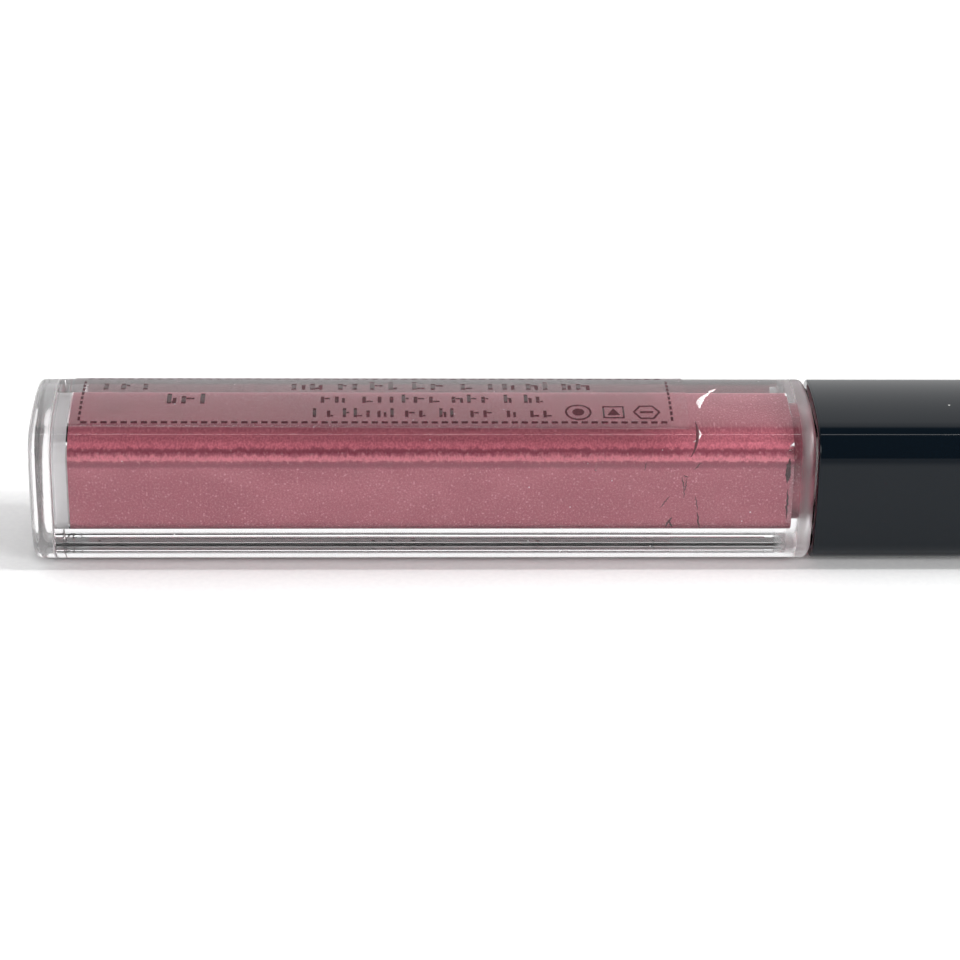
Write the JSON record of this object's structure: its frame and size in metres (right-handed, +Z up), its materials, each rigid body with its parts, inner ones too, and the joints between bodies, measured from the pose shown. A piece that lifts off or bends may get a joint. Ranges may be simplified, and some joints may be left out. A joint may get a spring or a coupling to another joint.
{
  "type": "lip gloss tube",
  "caption": "Square clear lip gloss tube with a black screw cap that carries the wand and flocked applicator.",
  "frame": {"origin": "under the middle of the tube, on the surface that its lower flat side rests on", "axes": "+X along the tube from the base to the cap's closed end, +Z up out of the labelled side"},
  "size_m": [0.1144, 0.015, 0.0151],
  "materials": {
    "clear_plastic": "clear, polished",
    "pink_gloss": "pearly liquid",
    "label_film": "clear film with dark print",
    "soft_wiper": "natural polyethylene",
    "foam_gasket": "soft foam",
    "gloss_black": "high gloss",
    "black_liner": "satin",
    "natural_rod": "natural polypropylene",
    "flock": "short flocked fibre stained by gloss"
  },
  "bodies": {
    "bottle": {"bottle_body": "clear_plastic", "base_plug": "clear_plastic", "gloss_fill": "pink_gloss", "neck_wiper": "soft_wiper", "label_film": "label_film"},
    "gasket": {"cap_gasket": "foam_gasket"},
    "wand": {"wand_rod": "natural_rod"},
    "cap": {"cap_shell": "gloss_black", "cap_liner": "black_liner", "applicator_core": "natural_rod", "applicator_flock": "flock"}
  },
  "joints": [
    {"name": "cap_pull", "type": "slide", "parent": "bottle", "child": "gasket", "axis": [1, 0, 0], "range_m": [0, 0.095]},
    {"name": "thread_rise", "type": "slide", "parent": "gasket", "child": "wand", "axis": [1, 0, 0], "range_m": [0, 0.00302]},
    {"name": "cap_turn", "type": "hinge", "parent": "wand", "child": "cap", "pos_m": [0, 0, 0.00748], "axis": [1, 0, 0], "range_deg": [0, 450]}
  ],
  "couplings": [
    {"joint": "thread_rise", "follows": "cap_turn", "m_per_rad": 0.00038197}
  ]
}
